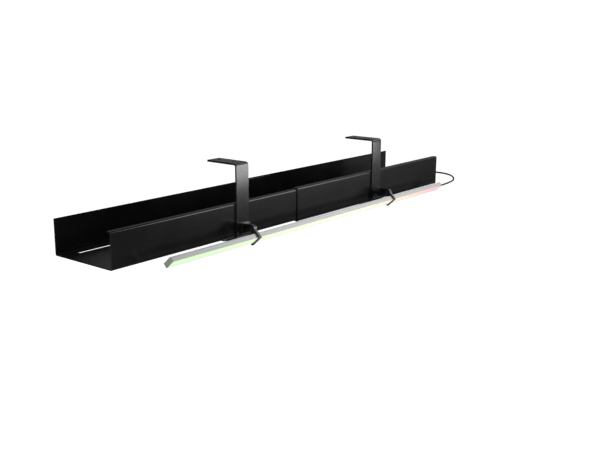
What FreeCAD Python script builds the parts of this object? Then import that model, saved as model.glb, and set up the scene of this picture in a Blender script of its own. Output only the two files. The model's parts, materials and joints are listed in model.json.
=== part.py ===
import FreeCAD, Part
import math
import os

import Sketcher
from FreeCAD import Placement, Rotation, Vector

# Telescopic cable tray that hangs under a desk on two flat hangers, with a tilting light bar clipped to it.
# X runs along the tray, -Y is the side that faces the user, Z is up and z = 0 is the underside of the desk.
# The origin is the centre of the four desk screw holes.

SIZES = [
    # alias, millimetres or degrees, meaning
    ("unit_length", 452.5, "length of each tray unit"),
    ("left_end", -427, "x of the left unit's open end"),
    ("right_start", -46.5, "x of the right unit's end that covers the left unit"),
    ("front_face", -30, "y of the left unit's front wall, outside"),
    ("floor_under", -112, "z of the left unit's floor, underside"),
    ("tray_width", 120, "outside width of the left unit"),
    ("tray_height", 52.4, "outside height of the left unit"),
    ("sheet_thick", 1.5, "tray sheet"),
    ("slide_gap", 0.3, "air between the two units"),
    ("lip_depth", 7, "lip on top of the front wall"),
    ("bend_inside", 1, "inside radius of the tray's bends"),
    ("bend_outside", 2.5, "outside radius of the tray's bends"),
    ("slot_length", 130, "floor slots"),
    ("slot_width", 6.4, "floor slots"),
    ("slot_pitch", 140, "slot to slot along the tray"),
    ("slot_margin", 26, "open end to the first slot"),
    ("slot_inset", 15, "slot centre line to the outside of the wall"),
    ("lock_x", -26.5, "x of the screws that lock the two units"),
    ("hanger_x", 179.5, "hanger centres, left and right of the origin"),
    ("strap_width", 26.5, "hanger strip"),
    ("strap_thick", 3, "hanger strip"),
    ("strap_bend", 2, "inside radius of the strip's bends"),
    ("strap_bend_out", 5, "outside radius of the strip's bends"),
    ("flange_length", 57, "desk flange, past the tray's front face"),
    ("foot_width", 70, "support plate under the tray"),
    ("foot_depth", 100, "support plate, past the tray's front face"),
    ("foot_corner", 6, "support plate's corner radius"),
    ("desk_hole_rad", 2.75, "desk screw holes"),
    ("desk_hole_half", 15, "desk screw holes, either side of the origin along y"),
    ("bolt_rad", 2.5, "shank of the M5 screws"),
    ("bolt_head_rad", 4.75, "M5 head"),
    ("bolt_head_high", 2.75, "M5 head"),
    ("bolt_head_slope", 1.24, "M5 head's bevelled rim"),
    ("bolt_socket_rad", 1.8, "M5 head's hexagon socket, across corners"),
    ("bolt_socket_deep", 1.65, "M5 head's hexagon socket"),
    ("bolt_length", 10, "shank of the M5 screws"),
    ("bolt_nut_rad", 4.6, "M5 nut, across corners"),
    ("bolt_nut_high", 4, "M5 nut"),
    ("bolt_washer_rad", 6.5, "washer under the lock screws"),
    ("bolt_washer_high", 1, "washer under the lock screws"),
    ("foot_bolt_x", 22, "support plate screws, either side of the strap"),
    ("foot_bolt_front", 32, "front pair of support plate screws, from the front face"),
    ("foot_bolt_rear", 86, "rear pair of support plate screws, from the front face"),
    ("small_rad", 1.5, "shank of the M3 screws"),
    ("small_head_rad", 2.8, "M3 head"),
    ("small_head_high", 1.8, "M3 head"),
    ("small_socket_rad", 1.12, "M3 head's hexagon socket, across corners"),
    ("small_socket_deep", 1.08, "M3 head's hexagon socket"),
    ("small_nut_rad", 3.1, "M3 nut, across corners"),
    ("small_nut_high", 2.4, "M3 nut"),
    ("small_proud", 0.5, "how far the pivot screws stand out of their nuts"),
    ("through", 20, "length of the tools that cut holes"),
    ("pivot_y", -58, "light bar's tilt axis"),
    ("pivot_z", -95, "light bar's tilt axis"),
    ("pivot_bore", 1.56, "claw's hole on the M3 pivot"),
    ("eye_rad", 5.2, "round eyes of the clip"),
    ("saddle_low", 4, "clip saddle's bottom, above the tray floor"),
    ("saddle_high", 20, "clip saddle's top"),
    ("saddle_thick", 3, "clip saddle"),
    ("saddle_from_left", -6.4, "left saddle's left end, from the strap's centre"),
    ("saddle_from_right", -13.25, "right saddle's left end, from the strap's centre"),
    ("saddle_screw_near_left", 1.5, "left saddle's screws, from the strap's centre"),
    ("saddle_screw_far_left", 9, "left saddle's screws, from the strap's centre"),
    ("saddle_screw_near_right", -3, "right saddle's screws, from the strap's centre"),
    ("saddle_screw_far_right", -9, "right saddle's screws, from the strap's centre"),
    ("leaf_high", 21, "top of the leaf where it leaves the saddle"),
    ("leaf_top_y", 1.04, "where the leaf's upper edge meets its eye, from the tilt axis"),
    ("leaf_top_z", 5.09, "where the leaf's upper edge meets its eye, from the tilt axis"),
    ("leaf_low_y", 2.34, "where the leaf's lower edge meets its eye, from the tilt axis"),
    ("leaf_low_z", 4.58, "where the leaf's lower edge meets its eye, from the tilt axis"),
    ("leaf_wide", 2.2, "fixed leaf"),
    ("claw_at_left", -6.8, "left claw's middle, from the strap's centre"),
    ("claw_at_right", 4.9, "right claw's middle, from the strap's centre"),
    ("claw_wide", 4.4, "claw"),
    ("claw_gap", 0.3, "air between claw and light bar"),
    ("claw_wall", 2.2, "claw's fingers"),
    ("claw_round", 0.8, "corner radius of the front finger"),
    ("claw_root_y", 2.8, "where the fingers leave the eye, in front of the tilt axis"),
    ("claw_root_z", 4.2, "where the fingers leave the eye, above and below the tilt axis"),
    ("claw_web", 5.4, "foot of the web under the eye, below the tilt axis"),
    ("claw_heel", 4, "short rear finger's end, above the light bar's lower side"),
    ("lamp_tilt", 47.5, "light bar's lean"),
    ("lamp_left", -359.4, "light bar's left end"),
    ("lamp_length", 720.4, "light bar with its end caps"),
    ("lamp_front", -17.3, "diffuser's face, from the tilt axis"),
    ("lamp_back", -9.5, "back of the light bar, from the tilt axis"),
    ("lamp_top", 2.1, "upper side of the light bar, from the tilt axis"),
    ("lamp_low", -14.9, "lower side of the light bar, from the tilt axis"),
    ("lamp_wall", 0.9, "aluminium channel"),
    ("lamp_round", 0.6, "corner radius of the channel and its caps"),
    ("cap_length", 1.6, "end caps"),
    ("diffuser_thick", 1.4, "diffuser"),
    ("diffuser_leg", 1.8, "diffuser's snap legs"),
    ("board_thick", 0.8, "LED board"),
    ("board_margin", 1.6, "channel's inner side to the LED board's edge"),
    ("chip_size", 5, "LED package, along and across"),
    ("chip_high", 1.4, "LED package"),
    ("chip_pitch", 33.3, "LED to LED"),
    ("gland_length", 10, "strain relief"),
    ("gland_straight", 3, "strain relief, before it tapers"),
    ("gland_rad", 3.1, "strain relief at the cap"),
    ("gland_tip_rad", 2.2, "strain relief's tip"),
    ("cord_rad", 1.7, "USB cord"),
    ("coil_x", 288, "centre of the put-away coil"),
    ("coil_y", 30, "centre of the put-away coil"),
    ("coil_rad", 20.4, "middle of the coil's turns"),
    ("coil_wide", 14, "coil's section, across"),
    ("coil_high", 7, "coil's section, up"),
    ("coil_lift", 1.2, "tie's thickness under the coil"),
    ("tie_wide", 9, "tie"),
    ("plug_x", 355, "where the cord enters the plug"),
    ("plug_y", 52, "plug's centre line"),
    ("plug_length", 22, "plug's moulded grip"),
    ("plug_wide", 14, "plug's moulded grip"),
    ("plug_high", 8, "plug's moulded grip"),
    ("shell_length", 12, "plug's metal shell"),
    ("shell_wide", 12, "plug's metal shell"),
    ("shell_high", 4.5, "plug's metal shell"),
    ("shell_wall", 0.5, "plug's metal shell"),
    ("shell_tongue", 1, "depth of the solid end behind the shell's mouth"),
]
CHIPS = 21
SLOTS = 3
ARC_SHARE = 0.45  # how much of a cord's shorter run each arc takes
# The cord's way from the strain relief round into the tray's open end and down to the coil, in millimetres.
CORD_ROUTE = [
    (371.0, -62.4, -109.2),
    (397.0, -62.4, -109.2),
    (429.0, -63.0, -105.5),
    (453.0, -42.5, -101.5),
    (455.0, -14.0, -99.2),
    (434.0, 7.0, -97.5),
    (403.0, 13.5, -97.5),
    (373.0, 10.0, -104.0),
    (345.0, 5.6, -108.8),
    (316.0, 4.2, -109.4),
    (288.0, 4.5, -109.4),
]
# From the top of the coil to the plug.
TAIL_ROUTE = [
    (288.0, 55.6, -105.9),
    (310.0, 55.2, -106.6),
    (333.0, 52.0, -108.3),
    (355.0, 52.0, -108.3),
]

doc = FreeCAD.newDocument("CableTray")
sheet = doc.addObject("Spreadsheet::Sheet", "Dim")
for row, (alias, value, meaning) in enumerate(SIZES, 1):
    sheet.set("A%d" % row, alias)
    sheet.set("B%d" % row, str(value))
    sheet.set("C%d" % row, meaning)
    sheet.setAlias("B%d" % row, alias)
doc.recompute()
nodes = []


def cell(alias):
    return float(getattr(sheet, alias))


def node(label, made):
    """Names a finished sub-part; its label is its file's name."""
    made.Label = label
    nodes.append(made)
    return made


def place(made, x, y, z, turn=Rotation()):
    made.Placement = Placement(Vector(), turn)
    for axis, text in (("x", x), ("y", y), ("z", z)):
        made.setExpression("Placement.Base." + axis, text)


ALONG = {"x": Rotation(Vector(0, 1, 0), 90), "y": Rotation(Vector(1, 0, 0), -90), "z": Rotation()}


def block(name, length, width, height, x, y, z):
    made = doc.addObject("Part::Box", name)
    for prop, text in (("Length", length), ("Width", width), ("Height", height)):
        made.setExpression(prop, text)
    place(made, x, y, z)
    return made


def rod(name, radius, length, x, y, z, axis="z"):
    made = doc.addObject("Part::Cylinder", name)
    made.setExpression("Radius", radius)
    made.setExpression("Height", length)
    place(made, x, y, z, ALONG[axis])
    return made


def nut(name, radius, height, x, y, z, axis="z"):
    made = doc.addObject("Part::Prism", name)
    made.Polygon = 6
    made.setExpression("Circumradius", radius)
    made.setExpression("Height", height)
    place(made, x, y, z, ALONG[axis])
    return made


def fuse(name, shapes):
    made = doc.addObject("Part::MultiFuse", name)
    made.Shapes = shapes
    made.Refine = True
    return made


def cut(name, base, tools):
    made = doc.addObject("Part::Cut", name)
    made.Base = base
    made.Tool = tools[0] if len(tools) == 1 else fuse(name + "_tools", tools)
    made.Refine = True
    return made


def group(name, shapes):
    made = doc.addObject("Part::Compound", name)
    made.Links = shapes
    return made


def outline(body, name, plane, points):
    """A closed sketch whose corners each hold two bound coordinates."""
    sketch = body.newObject("Sketcher::SketchObject", name)
    origin_plane = [f for f in body.Origin.OriginFeatures if f.Role == plane][0]
    sketch.AttachmentSupport = [(origin_plane, "")]
    sketch.MapMode = "FlatFace"
    count = len(points)
    turns = [2 * math.pi * i / count for i in range(count)]
    start = [Vector(math.cos(turn), math.sin(turn)) for turn in turns]
    for i in range(count):
        sketch.addGeometry(Part.LineSegment(start[i], start[(i + 1) % count]), False)
    for i in range(count):
        sketch.addConstraint(Sketcher.Constraint("Coincident", i, 2, (i + 1) % count, 1))
    for i, corner in enumerate(points):
        for kind, first, text in zip(("DistanceX", "DistanceY"), start[i], corner):
            index = sketch.addConstraint(Sketcher.Constraint(kind, i, 1, first))
            sketch.setExpression("Constraints[%d]" % index, text)
    return sketch


def rectangle(left, right, low, high):
    return [(left, low), (right, low), (right, high), (left, high)]


def prism(name, plane, points, depth, rounds=(), middle=False):
    """A body padded from an outline; rounds lists (corner numbers, radius) of its upright edges."""
    body = doc.addObject("PartDesign::Body", name)
    sketch = outline(body, name + "_outline", plane, points)
    pad = body.newObject("PartDesign::Pad", name + "_pad")
    pad.Profile = sketch
    pad.setExpression("Length", depth)
    pad.SideType = "Symmetric" if middle else "One side"
    doc.recompute()
    base = pad
    corners = [sketch.Placement.multVec(line.StartPoint) for line in sketch.Geometry]
    along = sketch.Placement.Rotation.multVec(Vector(0, 0, 1))
    for count, (numbers, radius) in enumerate(rounds):
        edges = []
        for i, edge in enumerate(base.Shape.Edges, 1):
            if len(edge.Vertexes) < 2 or not isinstance(edge.Curve, Part.Line):
                continue
            first, last = edge.Vertexes[0].Point, edge.Vertexes[-1].Point
            if (last - first).cross(along).Length > 1e-6 * edge.Length:
                continue
            if any((first - corners[n]).cross(along).Length < 1e-4 for n in numbers):
                edges.append("Edge%d" % i)
        fillet = body.newObject("PartDesign::Fillet", "%s_round%d" % (name, count))
        fillet.Base = (base, edges)
        fillet.setExpression("Radius", radius)
        doc.recompute()
        base = fillet
    return body


def slot_row(name, first, step, count, y, low):
    """Tools for a row of round-ended floor slots that starts at x = first."""
    made = []
    half, straight = "Dim.slot_width / 2", "Dim.slot_length - Dim.slot_width"
    for i in range(count):
        near = "%s + %d * %s + %s" % (first, i, step, half)
        far = "%s + %s" % (near, straight)
        tag = "%s_%d" % (name, i)
        made.append(block(tag, straight, "Dim.slot_width", "Dim.through", near, "%s - %s" % (y, half), low))
        made.append(rod(tag + "_near", half, "Dim.through", near, y, low))
        made.append(rod(tag + "_far", half, "Dim.through", far, y, low))
    return made


def tray(side, start, centre, grow):
    """One channel of bent sheet; grow is how far it stands outside the left unit's surfaces."""
    wide = "Dim.tray_width + 2 * (%s)" % grow
    high = "Dim.tray_height + 2 * (%s)" % grow
    lip = "Dim.lip_depth + (%s)" % grow
    thick = "Dim.sheet_thick"
    points = [
        ("0", "0"), (wide, "0"), (wide, high), (wide + " - " + thick, high),
        (wide + " - " + thick, thick), (thick, thick), (thick, high + " - " + thick),
        (lip, high + " - " + thick), (lip, high), ("0", high),
    ]
    channel = prism(
        "channel_" + side, "YZ_Plane", points, "Dim.unit_length",
        [((0, 1, 9), "Dim.bend_outside"), ((4, 5, 6), "Dim.bend_inside")],
    )
    place(channel, start, "Dim.front_face - (%s)" % grow, "Dim.floor_under - (%s)" % grow)
    low = "Dim.floor_under - Dim.through / 2"
    tools = []
    for row, y in ROWS.items():
        name = "slot_%s_%s" % (side, row)
        if side == "left":
            tools += slot_row(name, start + " + Dim.slot_margin", "Dim.slot_pitch", SLOTS, y, low)
        else:
            last = start + " + Dim.unit_length - Dim.slot_margin - Dim.slot_length"
            tools += slot_row(name, last, "(-Dim.slot_pitch)", SLOTS - 1, y, low)
            tools.append(rod("lock_hole_" + row, "Dim.bolt_rad", "Dim.through", "Dim.lock_x", y, low))
    for tag, x, y in foot_bolts(centre):
        tools.append(rod("foot_hole_%s_%s" % (side, tag), "Dim.bolt_rad", "Dim.through", x, y, low))
    return node("tray_" + side, cut("tray_%s_cut" % side, channel, tools))


def foot_bolts(centre):
    """Where the screws go through a support plate."""
    return [
        ("a", centre + " - Dim.foot_bolt_x", "Dim.front_face + Dim.foot_bolt_front"),
        ("b", centre + " + Dim.foot_bolt_x", "Dim.front_face + Dim.foot_bolt_front"),
        ("c", centre + " - Dim.foot_bolt_x", "Dim.front_face + Dim.foot_bolt_rear"),
        ("d", centre + " + Dim.foot_bolt_x", "Dim.front_face + Dim.foot_bolt_rear"),
    ]


def hanger(side, centre, grow):
    """Flat strip bent to a J: desk flange, strap in front of the wall, foot with its wider support plate."""
    drop = "-Dim.floor_under + (%s)" % grow
    thick = "Dim.strap_thick"
    reach = "Dim.flange_length + (%s)" % grow
    points = [
        ("-" + thick, "-" + thick), ("Dim.foot_depth", "-" + thick), ("Dim.foot_depth", "0"), ("0", "0"),
        ("0", drop + " - " + thick), (reach, drop + " - " + thick), (reach, drop), ("-" + thick, drop),
    ]
    strip = prism(
        "strip_" + side, "YZ_Plane", points, "Dim.strap_width",
        [((0, 7), "Dim.strap_bend_out"), ((3, 4), "Dim.strap_bend")], middle=True,
    )
    y, z = "Dim.front_face - (%s)" % grow, "Dim.floor_under - (%s)" % grow
    place(strip, centre, y, z)
    corners = rectangle("-Dim.foot_width / 2", "Dim.foot_width / 2", "Dim.strap_bend", "Dim.foot_depth")
    plate = prism("plate_" + side, "XY_Plane", corners, thick, [((0, 1, 2, 3), "Dim.foot_corner")])
    place(plate, centre, y, z + " - " + thick)
    back = " - Dim.through / 2"
    tools = []
    for tag, hole in (("front", "-Dim.desk_hole_half"), ("rear", "Dim.desk_hole_half")):
        name = "desk_hole_%s_%s" % (side, tag)
        tools.append(rod(name, "Dim.desk_hole_rad", "Dim.through", centre, hole, "0" + back))
    for tag, bx, by in foot_bolts(centre):
        name = "plate_hole_%s_%s" % (side, tag)
        tools.append(rod(name, "Dim.bolt_rad", "Dim.through", bx, by, z + back))
    for tag, sx in saddle_screws(side, centre):
        name = "strap_hole_%s_%s" % (side, tag)
        tools.append(rod(name, "Dim.small_rad", "Dim.through", sx, y + back, saddle_z(), "y"))
    blank = fuse("hanger_%s_blank" % side, [strip, plate])
    node("hanger_" + side, cut("hanger_%s_cut" % side, blank, tools))


def saddle_screws(side, centre):
    return [(tag, "%s + Dim.saddle_screw_%s_%s" % (centre, tag, side)) for tag in ("near", "far")]


def claw_start(side, centre):
    """The swinging claw's left face."""
    return "%s + Dim.claw_at_%s - Dim.claw_wide / 2" % (centre, side)


def leaf_start(side, centre):
    """The fixed leaf's left face, next to the claw."""
    return claw_start(side, centre) + " + Dim.claw_wide + Dim.claw_gap"


def saddle_z():
    return "Dim.floor_under + (Dim.saddle_low + Dim.saddle_high) / 2"


def hex_screw(name, x, y, z, up=True):
    """M5 button head that bears on z and points up or down, on a shank the other way."""
    high, deep = "Dim.bolt_head_high", "Dim.bolt_socket_deep"
    low = z if up else "%s - %s" % (z, high)
    head = rod(name + "_head", "Dim.bolt_head_rad", high, x, y, low)
    dome = doc.addObject("Part::Chamfer", name + "_dome")
    doc.recompute()
    dome.Base = head
    end = head.Shape.BoundBox.ZMax if up else head.Shape.BoundBox.ZMin
    rim = [
        i for i, edge in enumerate(head.Shape.Edges, 1)
        if len(edge.Vertexes) == 1 and abs(edge.Vertexes[0].Point.z - end) < 1e-6
    ]
    dome.Edges = [(rim[0], cell("bolt_head_slope"), cell("bolt_head_slope"))]
    mouth = "%s + %s - %s" % (low, high, deep) if up else low
    socket = nut(name + "_socket", "Dim.bolt_socket_rad", deep, x, y, mouth)
    foot = z + " - Dim.bolt_length" if up else z
    shank = rod(name + "_shank", "Dim.bolt_rad", "Dim.bolt_length", x, y, foot)
    return cut(name + "_body", fuse(name + "_blank", [dome, shank]), [socket])


def hanger_fasteners(side, centre, grow):
    screws, nuts = [], []
    under = "Dim.floor_under - (%s) - Dim.strap_thick" % grow
    floor = "Dim.floor_under - (%s) + Dim.sheet_thick" % grow
    for tag, x, y in foot_bolts(centre):
        screws.append(hex_screw("foot_screw_%s_%s" % (side, tag), x, y, under, up=False))
        name = "foot_nut_%s_%s" % (side, tag)
        hexagon = nut(name, "Dim.bolt_nut_rad", "Dim.bolt_nut_high", x, y, floor)
        thread = rod(name + "_thread", "Dim.bolt_rad", "Dim.through", x, y, floor + " - Dim.through / 2")
        nuts.append(cut(name + "_cut", hexagon, [thread]))
    node("hanger_screws_" + side, group("hanger_screws_%s_set" % side, screws))
    node("hanger_nuts_" + side, group("hanger_nuts_%s_set" % side, nuts))


def slide_lock():
    """Two screws held in the right unit's floor; the left unit's last slots run along their shanks."""
    screws, washers, nuts = [], [], []
    top = "Dim.floor_under + Dim.sheet_thick + Dim.slide_gap"
    low = "Dim.floor_under - Dim.slide_gap - Dim.sheet_thick - Dim.bolt_nut_high"
    x, back = "Dim.lock_x", " - Dim.through / 2"
    for row, y in ROWS.items():
        screws.append(hex_screw("lock_screw_" + row, x, y, top + " + Dim.bolt_washer_high"))
        disc = rod("washer_" + row, "Dim.bolt_washer_rad", "Dim.bolt_washer_high", x, y, top)
        hole = rod("washer_hole_" + row, "Dim.bolt_rad", "Dim.through", x, y, top + back)
        washers.append(cut("washer_%s_cut" % row, disc, [hole]))
        hexagon = nut("lock_nut_" + row, "Dim.bolt_nut_rad", "Dim.bolt_nut_high", x, y, low)
        thread = rod("lock_thread_" + row, "Dim.bolt_rad", "Dim.through", x, y, low + back)
        nuts.append(cut("lock_nut_%s_cut" % row, hexagon, [thread]))
    node("slide_lock_screws", group("lock_screw_set", screws))
    node("slide_lock_washers", group("washer_set", washers))
    node("slide_lock_nuts", group("lock_nut_set", nuts))


def clip_base(side, centre, grow):
    """Saddle on the strap's face with one fixed leaf that reaches out to the tilt axis."""
    face = "Dim.front_face - (%s) - Dim.strap_thick" % grow
    low, high = "Dim.floor_under + Dim.saddle_low", "Dim.floor_under + Dim.saddle_high"
    saddle_from = "Dim.saddle_from_" + side
    saddle = block("saddle_" + side, "Dim.strap_width / 2 - " + saddle_from, "Dim.saddle_thick",
                   "%s - (%s)" % (high, low), "%s + %s" % (centre, saddle_from),
                   face + " - Dim.saddle_thick", low)
    points = [
        (face, low), (face, "Dim.floor_under + Dim.leaf_high"),
        ("Dim.pivot_y + Dim.leaf_top_y", "Dim.pivot_z + Dim.leaf_top_z"),
        ("Dim.pivot_y - Dim.leaf_top_y", "Dim.pivot_z"),
        ("Dim.pivot_y + Dim.leaf_low_y", "Dim.pivot_z - Dim.leaf_low_z"),
    ]
    start, back = leaf_start(side, centre), " - Dim.through / 2"
    leaf = prism("leaf_" + side, "YZ_Plane", points, "Dim.leaf_wide")
    place(leaf, start, "0", "0")
    eye = pivot_rod("leaf_eye_" + side, "Dim.eye_rad", "Dim.leaf_wide", start)
    tools = [pivot_rod("leaf_bore_" + side, "Dim.small_rad", "Dim.through", start + back)]
    for tag, x in saddle_screws(side, centre):
        name = "saddle_hole_%s_%s" % (side, tag)
        tools.append(rod(name, "Dim.small_rad", "Dim.through", x, face + back, saddle_z(), "y"))
    blank = fuse("clip_base_%s_blank" % side, [saddle, leaf, eye])
    node("clip_base_" + side, cut("clip_base_%s_cut" % side, blank, tools))


def pivot_rod(name, radius, length, x):
    """A cylinder on the tilt axis."""
    return rod(name, radius, length, x, "Dim.pivot_y", "Dim.pivot_z", "x")


def pan_screw(name, length, x, y, z, axis):
    """M3 pan head whose head lies before (x, y, z) and whose shank runs on from it along the axis."""
    back = {"x": (x + " - Dim.small_head_high", y, z), "y": (x, y + " - Dim.small_head_high", z)}[axis]
    head = rod(name + "_head", "Dim.small_head_rad", "Dim.small_head_high", *back, axis)
    shank = rod(name + "_shank", "Dim.small_rad", length, x, y, z, axis)
    socket = nut(name + "_socket", "Dim.small_socket_rad", "Dim.small_socket_deep", *back, axis)
    return cut(name + "_body", fuse(name + "_blank", [head, shank]), [socket])


def clip_fasteners(side, centre, grow):
    head = claw_start(side, centre) + " - Dim.claw_gap"
    seat = leaf_start(side, centre) + " + Dim.leaf_wide"
    reach = "%s + Dim.small_nut_high + Dim.small_proud - (%s)" % (seat, head)
    node("pivot_screw_" + side, pan_screw("pivot_" + side, reach, head, "Dim.pivot_y", "Dim.pivot_z", "x"))
    name = "pivot_nut_" + side
    hexagon = nut(name + "_blank", "Dim.small_nut_rad", "Dim.small_nut_high",
                  seat, "Dim.pivot_y", "Dim.pivot_z", "x")
    thread = pivot_rod(name + "_thread", "Dim.small_rad", "Dim.through", seat + " - Dim.through / 2")
    node(name, cut(name + "_cut", hexagon, [thread]))
    face = "Dim.front_face - (%s) - Dim.strap_thick - Dim.saddle_thick" % grow
    length = "Dim.saddle_thick + Dim.strap_thick"
    screws = [
        pan_screw("saddle_screw_%s_%s" % (side, tag), length, x, face, saddle_z(), "y")
        for tag, x in saddle_screws(side, centre)
    ]
    node("clip_base_screws_" + side, group("saddle_screw_set_" + side, screws))


def on_lamp(made, x):
    """Puts a body drawn about the tilt axis in its place, leaning with the light bar."""
    place(made, x, "Dim.pivot_y", "Dim.pivot_z", lean())
    return made


def claw(side, centre):
    """Swinging leaf: an eye on the pivot, a finger over and down the diffuser, a short finger behind it."""
    front, back = "Dim.lamp_front - Dim.claw_gap", "Dim.lamp_back + Dim.claw_gap"
    top, low = "Dim.lamp_top + Dim.claw_gap", "Dim.lamp_low - Dim.claw_gap"
    wall = "Dim.claw_wall"
    under, tip = "%s - %s" % (low, wall), "%s + %s" % (front, wall)
    outside, behind = "%s - %s" % (front, wall), "%s + %s" % (back, wall)
    heel = "Dim.lamp_low + Dim.claw_heel"
    points = [
        ("-Dim.claw_root_y", "Dim.claw_root_z"), (outside, "%s + %s" % (top, wall)), (outside, under),
        (tip, under), (tip, low), (front, low), (front, top), (back, top), (back, heel),
        (behind, heel), (behind, "-Dim.claw_web"), ("-Dim.claw_root_y", "-Dim.claw_root_z"),
    ]
    shape = prism("fingers_" + side, "YZ_Plane", points, "Dim.claw_wide", [((1, 2, 3), "Dim.claw_round")])
    start = claw_start(side, centre)
    fingers = on_lamp(shape, start)
    eye = pivot_rod("claw_eye_" + side, "Dim.eye_rad", "Dim.claw_wide", start)
    bore = pivot_rod("claw_bore_" + side, "Dim.pivot_bore", "Dim.through", start + " - Dim.through / 2")
    blank = fuse("claw_%s_blank" % side, [fingers, eye])
    node("clip_claw_" + side, cut("claw_%s_cut" % side, blank, [bore]))


def light_bar():
    inner = "Dim.lamp_length - 2 * Dim.cap_length"
    inner_left = "Dim.lamp_left + Dim.cap_length"
    wall, corner = "Dim.lamp_wall", "Dim.lamp_round"
    front, back, low, top = "Dim.lamp_front", "Dim.lamp_back", "Dim.lamp_low", "Dim.lamp_top"
    floor = "%s - %s" % (back, wall)
    in_low, in_top = "%s + %s" % (low, wall), "%s - %s" % (top, wall)
    channel = [
        (front, low), (back, low), (back, top), (front, top),
        (front, in_top), (floor, in_top), (floor, in_low), (front, in_low),
    ]
    housing = prism("housing", "YZ_Plane", channel, inner, [((1, 2), corner)])
    node("light_housing", on_lamp(housing, inner_left))
    skin = front + " + Dim.diffuser_thick"
    leg = skin + " + Dim.diffuser_leg"
    lens = [
        (front, in_low), (leg, in_low), (leg, in_low + " + " + wall), (skin, in_low + " + " + wall),
        (skin, in_top + " - " + wall), (leg, in_top + " - " + wall), (leg, in_top), (front, in_top),
    ]
    node("light_diffuser", on_lamp(prism("diffuser", "YZ_Plane", lens, inner), inner_left))
    margin = "Dim.board_margin"
    board_face = floor + " - Dim.board_thick"
    board = rectangle(board_face, floor, in_low + " + " + margin, in_top + " - " + margin)
    node("led_board", on_lamp(prism("board", "YZ_Plane", board, inner), inner_left))
    node("led_chips", group("chip_set", chips()))
    for side, x in (("left", "Dim.lamp_left"), ("right", inner_left + " + " + inner)):
        section = rectangle(front, back, low, top)
        cap = prism("cap_" + side, "YZ_Plane", section, "Dim.cap_length", [((0, 1, 2, 3), corner)])
        node("end_cap_" + side, on_lamp(cap, x))


def chips():
    """The LEDs, in one row along the middle of their board."""
    lamp = Placement(Vector(0, cell("pivot_y"), cell("pivot_z")), lean())
    middle = cell("lamp_left") + (cell("lamp_length") - cell("chip_size")) / 2
    y = cell("lamp_back") - cell("lamp_wall") - cell("board_thick") - cell("chip_high")
    z = (cell("lamp_low") + cell("lamp_top") - cell("chip_size")) / 2
    made = []
    for i in range(CHIPS):
        chip = doc.addObject("Part::Box", "chip_%d" % i)
        for prop, alias in (("Length", "chip_size"), ("Width", "chip_high"), ("Height", "chip_size")):
            chip.setExpression(prop, "Dim." + alias)
        x = middle + (i - (CHIPS - 1) / 2) * cell("chip_pitch")
        chip.Placement = lamp.multiply(Placement(Vector(x, y, z), Rotation()))
        made.append(chip)
    return made


def lean():
    return Rotation(Vector(1, 0, 0), cell("lamp_tilt"))


def lamp_middle():
    """A point on the light bar's centre line."""
    y = (cell("lamp_front") + cell("lamp_back")) / 2
    z = (cell("lamp_low") + cell("lamp_top")) / 2
    return lean().multVec(Vector(0, y, z)) + Vector(0, cell("pivot_y"), cell("pivot_z"))


def turned_gland():
    """Tapered strain relief on the right end cap."""
    centre = lamp_middle()
    start = cell("lamp_left") + cell("lamp_length")
    length, straight = cell("gland_length"), cell("gland_straight")
    profile = Part.makePolygon([
        Vector(), Vector(length, 0, 0), Vector(length, 0, cell("gland_tip_rad")),
        Vector(straight, 0, cell("gland_rad")), Vector(0, 0, cell("gland_rad")), Vector(),
    ])
    made = doc.addObject("Part::Feature", "gland")
    made.Shape = Part.Face(profile).revolve(Vector(), Vector(1, 0, 0), 360)
    made.Placement = Placement(Vector(start, centre.y, centre.z), Rotation())
    node("cord_gland", made)


def tube(label, route, radius):
    """A round tube along straight runs joined by tangent arcs; prints the arcs' radii and its volume."""
    points = [Vector(*p) for p in route]
    edges, length, start, radii = [], 0.0, points[0], []
    for before, here, after in zip(points, points[1:], points[2:]):
        into, out = (here - before), (after - here)
        half = into.getAngle(out) / 2
        reach = ARC_SHARE * min(into.Length, out.Length)
        radii.append(reach / math.tan(half))
        into.normalize()
        out.normalize()
        first, last = here - into * reach, here + out * reach
        inward = out - into
        inward.normalize()
        centre = here + inward * (radii[-1] / math.cos(half))
        middle = centre - inward * radii[-1]
        edges.append(Part.LineSegment(start, first).toShape())
        edges.append(Part.Arc(first, middle, last).toShape())
        length += (first - start).Length + radii[-1] * 2 * half
        start = last
    edges.append(Part.LineSegment(start, points[-1]).toShape())
    length += (points[-1] - start).Length
    wire = Part.Wire(edges)
    circle = Part.Wire([Part.Circle(points[0], points[1] - points[0], radius).toShape()])
    made = doc.addObject("Part::Feature", label + "_tube")
    made.Shape = wire.makePipeShell([circle], True, False)
    node(label, made)
    section = math.pi * radius ** 2 * length
    print("%s: length %.1f mm, arc radii %s" % (label, length, [round(r, 1) for r in radii]))
    print("%s: volume %.1f, section times length %.1f" % (label, made.Shape.Volume, section))


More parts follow.
